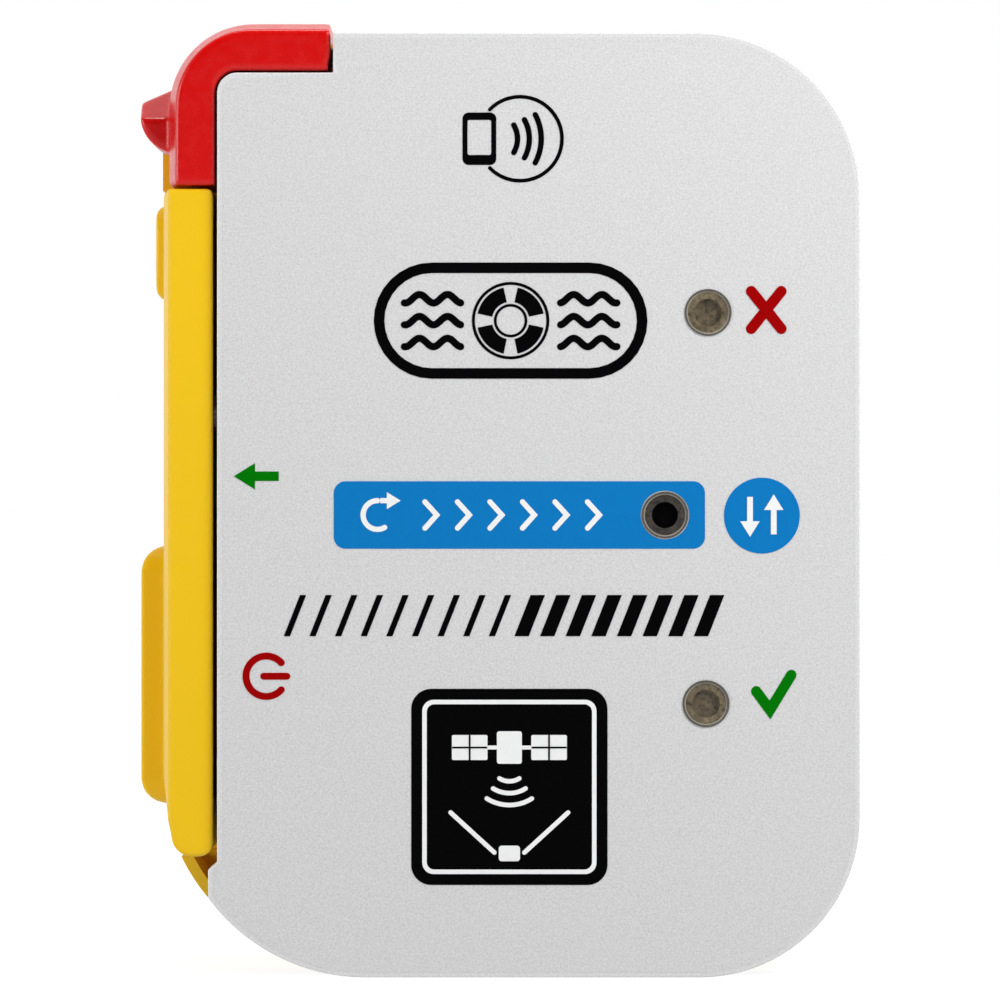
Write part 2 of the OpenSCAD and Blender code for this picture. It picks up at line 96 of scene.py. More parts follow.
class Surface:
    """A node material under construction, patterned in the object's own coordinates."""

    def __init__(self, name, colour, roughness, metallic=0.0, coat=0.0, specular=0.5):
        self.material = bpy.data.materials.new(name)
        self.material.use_nodes = True
        self.tree = self.material.node_tree
        self.shader = self.tree.nodes["Principled BSDF"]
        self.colour = colour
        self.shader.inputs["Base Color"].default_value = colour
        self.shader.inputs["Roughness"].default_value = roughness
        self.shader.inputs["Metallic"].default_value = metallic
        self.shader.inputs["Coat Weight"].default_value = coat
        self.shader.inputs["Coat Roughness"].default_value = 0.25
        self.shader.inputs["Specular IOR Level"].default_value = specular
        self.place = self.tree.nodes.new("ShaderNodeTexCoord").outputs["Object"]
        self.height = None

    def node(self, kind, **settings):
        """New node of the tree."""
        made = self.tree.nodes.new(kind)
        for key, value in settings.items():
            setattr(made, key, value)
        return made

    def link(self, source, target):
        """Joins two sockets."""
        self.tree.links.new(source, target)

    def noise(self, size, detail=3.0, rough=0.55, stretch=None):
        """Noise whose blobs are about size metres across; stretch scales the three axes."""
        where = self.place
        if stretch:
            mapping = self.node("ShaderNodeMapping")
            mapping.inputs["Scale"].default_value = stretch
            self.link(where, mapping.inputs["Vector"])
            where = mapping.outputs["Vector"]
        made = self.node("ShaderNodeTexNoise")
        made.inputs["Scale"].default_value = 1.0 / size
        made.inputs["Detail"].default_value = detail
        made.inputs["Roughness"].default_value = rough
        self.link(where, made.inputs["Vector"])
        return made.outputs["Fac"]

    def spread(self, value, low, high):
        """Maps the middle of a noise onto low to high."""
        made = self.node("ShaderNodeMapRange")
        made.inputs["From Min"].default_value = 0.3
        made.inputs["From Max"].default_value = 0.7
        made.inputs["To Min"].default_value = low
        made.inputs["To Max"].default_value = high
        self.link(value, made.inputs["Value"])
        return made.outputs["Result"]

    def tint(self, value, other):
        """Mixes the colour towards another one by value."""
        mix = self.node("ShaderNodeMix", data_type="RGBA")
        socket = self.shader.inputs["Base Color"]
        if socket.is_linked:
            self.link(socket.links[0].from_socket, mix.inputs["A"])
        else:
            mix.inputs["A"].default_value = self.colour
        mix.inputs["B"].default_value = other
        self.link(value, mix.inputs["Factor"])
        self.link(mix.outputs["Result"], socket)

    def gloss(self, value):
        """Takes the roughness from value."""
        self.link(value, self.shader.inputs["Roughness"])

    def bump(self, value, depth):
        """Raises the surface by depth metres where value is one."""
        made = self.node("ShaderNodeBump")
        made.inputs["Strength"].default_value = 1.0
        made.inputs["Distance"].default_value = depth
        self.link(value, made.inputs["Height"])
        if self.height:
            self.link(self.height, made.inputs["Normal"])
        self.height = made.outputs["Normal"]
        self.link(self.height, self.shader.inputs["Normal"])


def moulded(
    name, colour, roughness=0.42, grain=0.00025, depth=0.000012, coat=0.0, specular=0.4
):
    """Plastic from a spark-eroded mould: fine grain, and a faint drift in colour and gloss."""
    s = Surface(name, colour, roughness, coat=coat, specular=specular)
    drift = s.noise(0.012, detail=2.0)
    s.tint(s.spread(drift, 0.0, 0.12), scaled(colour, 0.82))
    s.gloss(s.spread(s.noise(0.0011), roughness - 0.05, roughness + 0.07))
    s.bump(s.noise(grain), depth)
    return s.material


def metallic_grain(name, colour, roughness=0.46, specular=0.5):
    """Silver plastic with fine flakes, some brighter and some darker than the rest."""
    s = Surface(name, colour, roughness, metallic=0.12, specular=specular)
    s.tint(s.spread(s.noise(0.0002, detail=2.0), 0.0, 0.46), linear(176, 177, 178))
    s.tint(s.spread(s.noise(0.00012, detail=1.0), 0.0, 0.34), linear(252, 252, 251))
    s.gloss(s.spread(s.noise(0.0002), roughness - 0.08, roughness + 0.1))
    s.bump(s.noise(0.00014, detail=2.0), 0.000006)
    return s.material


def ink(name, colour):
    """Screen-printed ink: dense, with pinholes and a slight orange peel."""
    s = Surface(name, colour, 0.4, specular=0.03)
    s.tint(s.spread(s.noise(0.0009), 0.0, 0.14), scaled(colour, 1.25, 0.002))
    s.bump(s.noise(0.0002), 0.000004)
    return s.material


def metal(name, colour, roughness=0.3):
    """Worked metal with a fine directional lay."""
    s = Surface(name, colour, roughness, metallic=1.0)
    lay = (1.0, 14.0, 1.0)
    s.gloss(s.spread(s.noise(0.0015, stretch=lay), roughness - 0.1, roughness + 0.14))
    s.tint(s.spread(s.noise(0.004), 0.0, 0.25), scaled(colour, 0.7))
    s.bump(s.noise(0.0006, stretch=lay), 0.000004)
    return s.material


def elastomer(name, colour):
    """Moulded rubber with a dull bloom."""
    s = Surface(name, colour, 0.62, specular=0.35)
    s.tint(s.spread(s.noise(0.003), 0.0, 0.4), scaled(colour, 1.6, 0.01))
    s.bump(s.noise(0.0003), 0.00001)
    return s.material


def smoked(name, colour, light):
    """Smoked light pipe, mottled by the lens ribs and the lamp behind it: the lighter mottling is painted light,
    for light through the ribs from the lamp behind.
    """
    s = Surface(name, colour, 0.22, coat=0.4)
    # Painted light: patches mixed towards the lighter colour of light through the lens
    s.tint(s.spread(s.noise(0.0007, detail=4.0, rough=0.7), 0.0, 0.9), light)
    s.tint(s.spread(s.noise(0.00035, detail=2.0), -0.3, 0.9), scaled(colour, 0.25))
    s.bump(s.noise(0.00035), 0.00003)
    s.shader.inputs["Transmission Weight"].default_value = 0.12
    return s.material


def circuit_board(name, colour):
    """Solder mask with traces showing through as a faint fine network."""
    s = Surface(name, colour, 0.32, coat=0.3)
    cells = s.node("ShaderNodeTexVoronoi", feature="DISTANCE_TO_EDGE")
    cells.inputs["Scale"].default_value = 420.0
    s.link(s.place, cells.inputs["Vector"])
    s.tint(s.spread(cells.outputs["Distance"], 0.5, 0.0), linear(58, 140, 80))
    s.bump(cells.outputs["Distance"], 0.00002)
    return s.material


def blade_sleeve(name):
    """Glossy black sleeve over sprung steel, with soft rubbing along its length."""
    s = Surface(name, linear(8, 8, 9), 0.28, coat=0.1, specular=0.2)
    s.gloss(s.spread(s.noise(0.002), 0.24, 0.34))
    s.tint(s.spread(s.noise(0.004), 0.0, 0.2), linear(20, 20, 22))
    s.bump(s.noise(0.0008), 0.000002)
    return s.material


FINISHES = {
    "case_yellow": moulded("case_yellow", linear(240, 193, 22)),
    "flap_yellow": moulded(
        "flap_yellow", linear(237, 192, 15), 0.44, grain=0.0003, depth=0.00001, specular=0.25
    ),
    "cover_silver": metallic_grain("cover_silver", linear(220, 220, 221), 0.4),
    "face_print": metallic_grain("face_print", linear(208, 208, 209), specular=0.25),
    "rear_print": metallic_grain("rear_print", linear(232, 232, 229), 0.5, specular=0.25),
    "seal_rubber": elastomer("seal_rubber", linear(40, 40, 40)),
    "stainless": metal("stainless", linear(190, 190, 188)),
    # The second colour of each window is the colour of its painted light
    "window_smoke": smoked("window_smoke", linear(88, 76, 56), linear(166, 150, 118)),
    "window_dark": smoked("window_dark", linear(38, 33, 30), linear(92, 84, 76)),
    "led_body": moulded("led_body", linear(228, 228, 205), 0.3),
    "board_green": circuit_board("board_green", linear(20, 84, 44)),
    "tinned_steel": metal("tinned_steel", linear(196, 197, 196), 0.34),
    "patch_ceramic": moulded("patch_ceramic", linear(184, 166, 136), 0.6),
    "coil_copper": metal("coil_copper", linear(190, 118, 70), 0.35),
    "cradle_black": moulded("cradle_black", linear(44, 45, 48), 0.5),
    "cell_wrap": moulded("cell_wrap", linear(52, 104, 156), 0.25, coat=0.5),
    "keypad_rubber": elastomer("keypad_rubber", linear(66, 66, 64)),
    "button_red": moulded("button_red", linear(204, 18, 26), 0.34, coat=0.2),
    "button_green": moulded("button_green", linear(24, 150, 56), 0.34, coat=0.2),
    "brass_part": metal("brass_part", linear(204, 166, 84), 0.3),
    "blade_black": blade_sleeve("blade_black"),
    "cap_red": moulded(
        "cap_red", linear(204, 0, 0), 0.25, grain=0.0003, depth=0.000003, specular=0.45
    ),
}
INKS = {
    "black": ink("ink_black", linear(3, 3, 4)),
    "blue": ink("ink_blue", linear(14, 116, 184)),
    "white": ink("ink_white", linear(232, 233, 233)),
    "red": ink("ink_red", linear(150, 1, 3)),
    "green": ink("ink_green", linear(1, 112, 4)),
    "grey": ink("ink_grey", linear(92, 90, 84)),
    # Light grey for the painted highlight on each lens's lip
    "lip": ink("ink_lip_highlight", linear(158, 152, 140)),
}


# ---------------------------------------------------------------- building helpers


def finish_slots():
    """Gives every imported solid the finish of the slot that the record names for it."""
    for part in frame["record"]["subparts"]:
        mesh = NODES[part["node"]].data
        mesh.materials.clear()
        mesh.materials.append(FINISHES[part["material_slot"]])


def welded(node):
    """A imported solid, its split corners joined and its stored normals gone, ready to reshape."""
    obj = NODES[node]
    if "custom_normal" in obj.data.attributes:
        obj.data.attributes.remove(obj.data.attributes["custom_normal"])
    weld = obj.modifiers.new("weld", "WELD")
    weld.merge_threshold = SAME_POINT
    return obj


def crease_marker():
    """Node group that marks a mesh's sharp edges, so that they shade as edges."""
    tree = bpy.data.node_groups.new("creases", "GeometryNodeTree")
    tree.interface.new_socket("Geometry", in_out="INPUT", socket_type="NodeSocketGeometry")
    tree.interface.new_socket("Geometry", in_out="OUTPUT", socket_type="NodeSocketGeometry")
    mesh_in = tree.nodes.new("NodeGroupInput")
    mesh_out = tree.nodes.new("NodeGroupOutput")
    bend = tree.nodes.new("GeometryNodeInputMeshEdgeAngle")
    above = tree.nodes.new("FunctionNodeCompare")
    above.operation = "GREATER_THAN"
    above.inputs["B"].default_value = math.radians(EDGE_ANGLE)
    mark = tree.nodes.new("GeometryNodeSetShadeSmooth")
    mark.domain = "EDGE"
    mark.inputs["Shade Smooth"].default_value = False
    tree.links.new(bend.outputs["Unsigned Angle"], above.inputs["A"])
    tree.links.new(above.outputs["Result"], mark.inputs["Selection"])
    tree.links.new(mesh_in.outputs["Geometry"], mark.inputs["Geometry"])
    tree.links.new(mark.outputs["Geometry"], mesh_out.inputs["Geometry"])
    return tree


def soften(node, width, segments=3, where=None):
    """Rounds a solid's edges: the sharp ones, or those between corners that where(place) picks."""
    obj = welded(node)
    obj.data.shade_smooth()
    flat = obj.modifiers.new("flat", "DECIMATE")
    flat.decimate_type = "DISSOLVE"
    flat.angle_limit = math.radians(FLAT_ANGLE)
    bevel = obj.modifiers.new("round", "BEVEL")
    bevel.width = width
    bevel.segments = segments
    bevel.miter_outer = "MITER_ARC"
    if where:
        picked = obj.vertex_groups.new(name="rounded")
        picked.add([v.index for v in obj.data.vertices if where(v.co)], 1.0, "REPLACE")
        bevel.limit_method = "VGROUP"
        bevel.vertex_group = picked.name
        bevel.use_clamp_overlap = False
    else:
        bevel.limit_method = "ANGLE"
        bevel.angle_limit = math.radians(EDGE_ANGLE)
    creases = obj.modifiers.new("creases", "NODES")
    creases.node_group = crease_marker()
    shade = obj.modifiers.new("shade", "WEIGHTED_NORMAL")
    shade.keep_sharp = True


def remould(node, cell, rounds, play=0.0):
    """Remakes a moulding from small cells, relaxes its edges round, and draws it in by play."""
    obj = welded(node)
    cells = obj.modifiers.new("cells", "REMESH")
    cells.mode = "VOXEL"
    cells.voxel_size = cell
    cells.use_smooth_shade = True
    relax = obj.modifiers.new("relax", "SMOOTH")
    relax.factor = 0.5
    relax.iterations = rounds
    draw_in = obj.modifiers.new("draw_in", "DISPLACE")
    draw_in.mid_level = 0.0
    draw_in.strength = -play
    thin = obj.modifiers.new("thin", "DECIMATE")
    thin.ratio = 0.3
    shade = obj.modifiers.new("shade", "WEIGHTED_NORMAL")
    shade.weight = 70


def back_rim(place):
    """True at the back's outer edge, and false at the label's recess and the screw holes in it."""
    x0, x1 = BACK_INNER_X
    z0, z1 = BACK_INNER_Z
    return place.y > BACK_Y - 0.0001 and not (x0 < place.x < x1 and z0 < place.z < z1)


def mesh_from(bm, name):
    """Mesh of a finished bmesh, which is freed."""
    mesh = bpy.data.meshes.new(name)
    bm.to_mesh(mesh)
    bm.free()
    return mesh


def add_piece(name, mesh, material, body="root"):
    """New visible piece that rides on a body, or on none."""
    mesh.materials.append(material)
    obj = bpy.data.objects.new(name, mesh)
    bpy.context.scene.collection.objects.link(obj)
    if body:
        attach(obj, body)
    return obj


def window_centres():
    """Middle of each window as (x, z) in metres."""
    centres = []
    for node in ("fault_window", "link_window", "pass_window"):
        lo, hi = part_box(node)
        centres.append(((lo[0] + hi[0]) / 2, (lo[2] + hi[2]) / 2))
    return centres


def face_film():
    """Printed film of the face, which laps over the edge of its recess so that no seam shows."""
    windows = window_centres()
    window_reach = 0.0025
    front = FACE_Y + 0.0001
    bm = bmesh.new()
    bm.from_mesh(NODES["face_label"].data)
    bmesh.ops.remove_doubles(bm, verts=bm.verts, dist=SAME_POINT)
    shifts = []
    for vert in bm.verts:
        sides = [face.normal for face in vert.link_faces if abs(face.normal.y) < 0.5]
        outward = sum(sides, Vector()).normalized()
        by_window = any(math.dist((vert.co.x, vert.co.z), c) < window_reach for c in windows)
        shift = Vector() if by_window else outward * FILM_LAP / max(0.5, outward.dot(sides[0]))
        if vert.co.y < front:
            shift.y -= FILM_PROUD
        shifts.append(shift)
    for vert, shift in zip(bm.verts, shifts):
        vert.co += shift
    film = add_piece("face_film", mesh_from(bm, "face_film"), FINISHES["face_print"])
    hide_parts("face_label")


# ---------------------------------------------------------------- flat artwork


def arc(centre, radius, start, end, count=24):
    """Points on a circle, angles in degrees from +X towards +Z."""
    turns = [math.radians(start + (end - start) * i / count) for i in range(count + 1)]
    return [(centre[0] + radius * math.cos(t), centre[1] + radius * math.sin(t)) for t in turns]


def disc(centre, radius, count=48):
    """Circle as a closed loop."""
    return arc(centre, radius, 0, 360, count)[:-1]


def box(x0, x1, z0, z1, radius):
    """Rounded rectangle."""
    loop = []
    corners = [((x1, z1), 0), ((x0, z1), 90), ((x0, z0), 180), ((x1, z0), 270)]
    for (x, z), turn in corners:
        centre = (x - radius if x == x1 else x + radius, z - radius if z == z1 else z + radius)
        loop += arc(centre, radius, turn, turn + 90, 8)
    return loop


def stroke(points, width):
    """Outline of a line of even width with round ends and mitred corners."""
    path = [Vector(p) for p in points]
    half = width / 2
    steps = [(b - a).normalized() for a, b in zip(path, path[1:])]
    left, right = [], []
    for i, p in enumerate(path):
        before = steps[max(0, i - 1)]
        after = steps[min(i, len(steps) - 1)]
        mean = (before + after).normalized()
        across = Vector((-mean.y, mean.x)) * half / max(0.3, mean.dot(after))
        left.append(p + across)
        right.append(p - across)
    heading = math.degrees(math.atan2(steps[-1].y, steps[-1].x))
    tail = math.degrees(math.atan2(steps[0].y, steps[0].x))
    loop = left[:-1] + [Vector(q) for q in arc(path[-1], half, heading + 90, heading - 90, 10)]
    loop += right[::-1][1:-1] + [Vector(q) for q in arc(path[0], half, tail - 90, tail - 270, 10)]
    return [tuple(q) for q in loop]


def printed(name, shapes, colour, lift=INK_LIFT, plane=FACE_Y, facing=-1):
    """Ink in flat shapes, each a list of loops in millimetres: its outline and then its holes."""
    bm = bmesh.new()
    for loops in shapes:
        flat = [[Vector((x * MM, z * MM, 0.0)) for x, z in loop] for loop in loops]
        top = [bm.verts.new((p.x, plane + facing * lift, p.y)) for loop in flat for p in loop]
        base = [bm.verts.new((p.x, plane, p.y)) for loop in flat for p in loop]
        for corners in tessellate_polygon(flat):
            bm.faces.new([top[i] for i in corners])
        start = 0
        for loop in flat:
            for i in range(len(loop)):
                a, b = start + i, start + (i + 1) % len(loop)
                bm.faces.new([top[a], top[b], base[b], base[a]])
            start += len(loop)
    bmesh.ops.recalc_face_normals(bm, faces=bm.faces)
    add_piece(name, mesh_from(bm, name), INKS[colour])


def arrow(tail, tip, width, head):
    """Outline of a straight arrow with a triangular head of length head."""
    a, b = Vector(tail), Vector(tip)
    along = (b - a).normalized()
    across = Vector((-along.y, along.x))
    neck = b - along * head
    half, wing = width / 2, head * 0.62
    loop = [a + across * half, neck + across * half, neck + across * wing, b]
    loop += [neck - across * wing, neck - across * half, a - across * half]
    return [tuple(q) for q in loop]


def contactless_mark(centre):
    """Telephone held to a ring with three waves, for the coil behind the face."""
    x, z = centre
    ring = stroke(arc(centre, 3.36, -136, 136, 60), 0.3)
    phone = [box(x - 4.6, x - 1.9, z - 2.1, z + 2.1, 0.5)]
    phone.append(box(x - 4.2, x - 2.3, z - 1.3, z + 1.5, 0.15))
    waves = []
    for i in range(3):
        waves.append([stroke(arc((x - 2.4, z), 2.2 + 0.95 * i, -30 + i, 30 - i, 16), 0.44)])
    printed("contactless_mark", [[ring], phone] + waves, "black")


def rescue_panel(x0, x1, z0, z1):
    """Round-ended band with a lifebuoy between waves."""
    x, z = (x0 + x1) / 2, (z0 + z1) / 2
    r = (z1 - z0) / 2
    band = 0.85
    inner = box(x0 + band, x1 - band, z0 + band, z1 - band, r - band)
    printed("rescue_band", [[box(x0, x1, z0, z1, r), inner]], "black")
    buoy = []
    for turn in (12, 102, 192, 282):
        outside = arc((x, z), 2.7, turn, turn + 66, 14)
        buoy.append([outside + arc((x, z), 1.5, turn + 66, turn, 14)])
    ring = [disc((x, z), 3.1), disc((x, z), 2.86)]
    hub = [disc((x, z), 1.34), disc((x, z), 1.12)]
    waves = []
    for side in (-1, 1):
        for row in (-1, 0, 1):
            points = []
            for i in range(37):
                along = 4.0 + 4.5 * i / 36
                points.append((x + side * along, z + row * 1.75 + 0.34 * math.sin(along * 2.8)))
            waves.append([stroke(points, 0.58)])
    printed("rescue_buoy", buoy + [ring, hub] + waves, "black")


def link_bar(x0, x1, z0, z1, window):
    """Blue bar round the middle window, with a returning arrow and a row of chevrons."""
    printed("link_bar", [[box(x0, x1, z0, z1, 0.95), disc(window, 1.95)]], "blue")
    z = (z0 + z1) / 2
    left = x0 + 2.4
    marks = [[stroke(arc((left + 1.1, z), 1.15, 90, 300, 30), 0.42)]]
    marks.append([arrow((left + 1.32, z + 1.15), (left + 2.95, z + 1.15), 0.42, 1.1)])
    for i in range(6):
        x = left + 4.9 + 2.6 * i
        marks.append([stroke([(x, z + 1.05), (x + 0.95, z), (x, z - 1.05)], 0.42)])
    printed("link_arrow", marks, "white", lift=2 * INK_LIFT)


def link_disc(centre, radius):
    """Blue disc with one arrow up and one down."""
    x, z = centre
    printed("link_disc", [[disc(centre, radius)]], "blue")
    arrows = []
    for side in (-1, 1):
        ax = x + side * 0.95
        arrows.append([arrow((ax, z - side * 1.5), (ax, z + side * 1.7), 0.46, 1.25)])
    printed("link_disc_arrows", arrows, "white", lift=2 * INK_LIFT)


def hatch_row(x0, x1, z0, z1):
    """Row of slanted bars, thin ones and then thick ones."""
    slant, pitch, thin, thick = 1.3, 2.05, 0.5, 1.15
    count = int((x1 - x0 - slant) / pitch)
    bars = []
    for i in range(count):
        x = x0 + pitch * i
        wide = thin if i < count / 2 else thick
        bars.append([[(x, z0), (x + wide, z0), (x + wide + slant, z1), (x + slant, z1)]])
    printed("hatch_row", bars, "black")


def sky_panel(x0, x1, z0, z1):
    """Dark square over the satellite antenna: a satellite, its signal and an open cone of sky."""
    printed("sky_panel", [[box(x0, x1, z0, z1, 1.6)]], "black")
    inset, line = 0.88, 0.36
    outer = box(x0 + inset, x1 - inset, z0 + inset, z1 - inset, 0.9)
    inset += line
    inner = box(x0 + inset, x1 - inset, z0 + inset, z1 - inset, 0.6)
    x, z = (x0 + x1) / 2, z1 - 4.7
    marks = [[outer, inner]]
    marks.append([box(x - 1.0, x + 1.0, z - 1.3, z + 1.3, 0.2)])
    seams = []
    for side in (-1, 1):
        near, far = x + side * 1.75, x + side * 4.6
        middle = (near + far) / 2
        marks.append([box(min(near, far), max(near, far), z - 1.0, z + 1.0, 0.12)])
        marks.append([box(min(x + side, near), max(x + side, near), z - 0.16, z + 0.16, 0.05)])
        seams.append([box(middle - 0.07, middle + 0.07, z - 1.0, z + 1.0, 0.02)])
        seams.append([box(middle - 1.4, middle + 1.4, z - 0.07, z + 0.07, 0.02)])
    for i in range(3):
        marks.append([stroke(arc((x, z - 1.2), 1.5 + 0.95 * i, 238, 302, 16), line)])
    base = z0 + 2.4
    for side in (-1, 1):
        marks.append([stroke([(x + side * 4.7, base + 3.4), (x + side * 1.2, base + 0.2)], line)])
    marks.append([box(x - 0.85, x + 0.85, base - 0.5, base + 0.75, 0.25)])
    printed("sky_marks", marks, "white", lift=2 * INK_LIFT)
    printed("sky_panel_seams", seams, "black", lift=3 * INK_LIFT)


def window_rims():
    """Dark line round each window, a painted highlight ring on the lip of the lens inside it, and a black disc of
    painted shade in the link lens's well.
    """
    lens_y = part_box("fault_window")[0][1]
    rings, lip_highlights = [], []
    for x, z in window_centres():
        centre = (x / MM, z / MM)
        rings.append([disc(centre, 1.88), disc(centre, 1.76)])
        # Light ring on the lens's lip: a painted highlight where the lip would catch the light
        lip_highlights.append([disc(centre, 1.72), disc(centre, 1.62)])
    printed("window_rims", rings, "grey", lift=3 * INK_LIFT)
    printed("window_lip_highlights", lip_highlights, "lip", plane=lens_y)
    x, z = window_centres()[1]
    well_depth = 0.0006
    # Black disc behind the link lens's front: painted shade for the depth of its well
    printed("link_well_painted_shade", [[disc((x / MM, z / MM), 1.04)]], "black", plane=lens_y + well_depth)


def state_marks():
    """Cross at the fault window, tick at the pass window, and the marks beside the two buttons."""
    rising = stroke([(18.9, 51.9), (21.3, 54.9)], 0.86)
    falling = stroke([(18.9, 54.9), (21.3, 51.9)], 0.86)
    printed("fault_cross_a", [[rising]], "red")
    printed("fault_cross_b", [[falling]], "red", lift=1.5 * INK_LIFT)
    printed("pass_tick", [[stroke([(19.3, 22.9), (20.4, 21.4), (22.1, 24.2)], 0.84)]], "green")
    printed("test_arrow", [[arrow((-18.9, 40.1), (-22.5, 40.1), 0.76, 1.7)]], "green")
    ring = stroke(arc((-19.9, 24.1), 1.62, 42, 318, 40), 0.56)
    bar = stroke([(-20.1, 24.1), (-18.25, 24.1)], 0.56)
    printed("on_mark", [[ring], [bar]], "red")


def back_artwork():
    """Three line pictures on the back: raise the blade, press the button, keep the sky clear."""
    z0, z1, line = 43.5, 57.5, 0.4
    for i, x in enumerate((12.0, -0.5, -13.0)):
        x0, x1 = x - 4.9, x + 4.9
        border = [box(x0, x1, z0, z1, 1.4)]
        border.append(box(x0 + line, x1 - line, z0 + line, z1 - line, 1.0))
        beacon = [box(x - 2.0, x + 2.0, z0 + 1.8, z0 + 7.2, 0.7)]
        beacon.append(box(x - 1.6, x + 1.6, z0 + 2.2, z0 + 6.8, 0.4))
        shapes = [border, beacon]
        if i == 0:
            shapes.append([stroke([(x - 1.7, z0 + 7.6), (x - 1.7, z0 + 11.6)], 0.5)])
            shapes.append([arrow((x + 1.2, z0 + 8.4), (x + 1.2, z0 + 11.8), 0.45, 1.3)])
        elif i == 1:
            shapes.append([disc((x, z0 + 4.5), 0.9, 24), disc((x, z0 + 4.5), 0.55, 24)])
            shapes.append([arrow((x, z0 + 11.8), (x, z0 + 7.7), 0.45, 1.3)])
        else:
            for side in (-1, 1):
                cone = [(x + side * 1.1, z0 + 8.0), (x + side * 3.6, z0 + 11.8)]
                shapes.append([stroke(cone, 0.42)])
            shapes.append([disc((x, z0 + 10.6), 0.8, 24)])
        printed(f"back_picture_{i + 1}", shapes, "black", plane=BACK_Y, facing=1)
    panel = [box(-16.9, 15.9, 19.5, 39.5, 1.4), box(-16.5, 15.5, 19.9, 39.1, 1.0)]
    rules = [[box(-14.5, 13.5, z, z + 0.25, 0.1)] for z in (23.5, 27.2, 30.9, 34.6)]
    printed("back_panel", [panel] + rules, "grey", plane=BACK_Y, facing=1)


def face_artwork():
    """All that is printed on the face, in place."""
    contactless_mark((0.4, 67.1))
    rescue_panel(-11.3, 10.6, 47.9, 57.2)
    link_bar(-14.5, 15.2, 34.3, 39.7, (12.0, 37.0))
    link_disc((19.75, 36.95), 3.04)
    hatch_row(-18.5, 18.4, 27.3, 30.6)
    sky_panel(-8.3, 7.4, 7.4, 23.1)
    window_rims()
    state_marks()


# ---------------------------------------------------------------- antenna


RING_LO, RING_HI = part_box("antenna_wrap")
BLADE_LO, BLADE_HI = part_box("antenna_blade")
BLADE_TOP = BLADE_HI[2]
BLADE_T = 0.0011
BLADE_W = RING_HI[1] - RING_LO[1]
BLADE_MID_Y = (RING_HI[1] + RING_LO[1]) / 2
# Height at which the wrap ends, under its clamp
WRAP_END_Z = 0.0496
# Outer radii of the blade's turns, and the middle of the one that opens
TURN_R = 0.0121
LOW_RIGHT_R = 0.0119
LOW_LEFT_R = 0.01095
TURN = (RING_HI[0] - TURN_R, BLADE_TOP - TURN_R)
BEND_JOINTS = [j for j in frame["joints"] if j["name"].startswith("antenna_")]
BEND_STEP = 90.0 / len(BEND_JOINTS)
# Extra height at each bending line, which evens out the opened blade's ripple
FLEX_SWELL = 0.00018


def section():
    """The blade's section with rounded edges, as (across its thickness, along its width)."""
    half_t, half_w, r = BLADE_T / 2, BLADE_W / 2, 0.0004
    loop = []
    for cx, cy, turn in ((1, 1, 0), (-1, 1, 90), (-1, -1, 180), (1, -1, 270)):
        for i in range(5):
            t = math.radians(turn + 90 * i / 4)
            loop.append((cx * (half_t - r) + r * math.cos(t), cy * (half_w - r) + r * math.sin(t)))
    return loop


def swept(name, path, caps=True):
    """Blade along a path of (x, z, outward x, outward z)."""
    bm = bmesh.new()
    shape = section()
    rings = []
    for x, z, ox, oz in path:
        ring = [bm.verts.new((x + ox * t, BLADE_MID_Y + w, z + oz * t)) for t, w in shape]
        rings.append(ring)
    count = len(shape)
    for a, b in zip(rings, rings[1:]):
        for i in range(count):
            j = (i + 1) % count
            bm.faces.new([a[i], a[j], b[j], b[i]])
    if caps:
        bm.faces.new(rings[0][::-1])
        bm.faces.new(rings[-1])
    bmesh.ops.recalc_face_normals(bm, faces=bm.faces)
    mesh = mesh_from(bm, name)
    mesh.shade_smooth()
    mesh.set_sharp_from_angle(angle=math.radians(50))
    return mesh


def turn_path(centre, outer_r, start, end, count, swell=0.0):
    """Arc of the blade's middle line, swelling halfway, with each point's outward direction."""
    out = []
    for i in range(count + 1):
        t = math.radians(start + (end - start) * i / count)
        c, s = math.cos(t), math.sin(t)
        r = outer_r - BLADE_T / 2 + swell * (1 - math.cos(math.tau * i / count)) / 2
        out.append((centre[0] + r * c, centre[1] + r * s, c, s))
    return out


def straight(start, end, outward, count=10):
    """Straight stretch of the blade's middle line, with each point's outward direction."""
    points = []
    for i in range(count + 1):
        x, z = (a + (b - a) * i / count for a, b in zip(start, end))
        points.append((x, z, *outward))
    return points


def antenna():
    """The whole blade: its wrap in the groove, the turn in one piece for each bending joint, and the free stretch.
    """
    left_mid = RING_LO[0] + BLADE_T / 2
    right_mid = RING_HI[0] - BLADE_T / 2
    low_left = (RING_LO[0] + LOW_LEFT_R, RING_LO[2] + LOW_LEFT_R)
    low_right = (RING_HI[0] - LOW_RIGHT_R, RING_LO[2] + LOW_RIGHT_R)
    path = straight((left_mid, WRAP_END_Z), (left_mid, low_left[1]), (-1, 0))
    path += turn_path(low_left, LOW_LEFT_R, 180, 270, 24)[1:]
    path += turn_path(low_right, LOW_RIGHT_R, 270, 360, 24)
    path += straight((right_mid, low_right[1]), (right_mid, TURN[1]), (1, 0))[1:]
    sleeve = FINISHES["blade_black"]
    name = "antenna_wrap_sleeve"
    wrap = add_piece(name, swept(name, path), sleeve)
    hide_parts("antenna_wrap")

    for i, joint in enumerate(BEND_JOINTS):
        bend = turn_path(TURN, TURN_R, BEND_STEP * i, BEND_STEP * (i + 1), 20, FLEX_SWELL)
        name = f"antenna_flex_{i + 1}"
        piece = add_piece(name, swept(name, bend, caps=False), sleeve, body=None)
        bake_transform(piece)
        if i < len(BEND_JOINTS) - 1:
            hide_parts(f"antenna_link_{i + 1}")

    top_mid = BLADE_TOP - BLADE_T / 2
    free = straight((TURN[0], top_mid), (BLADE_LO[0], top_mid), (0, 1))
    name = "antenna_blade_sleeve"
    blade = add_piece(name, swept(name, free), sleeve, "antenna_tip")
    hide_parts("antenna_blade")


# ---------------------------------------------------------------- stage


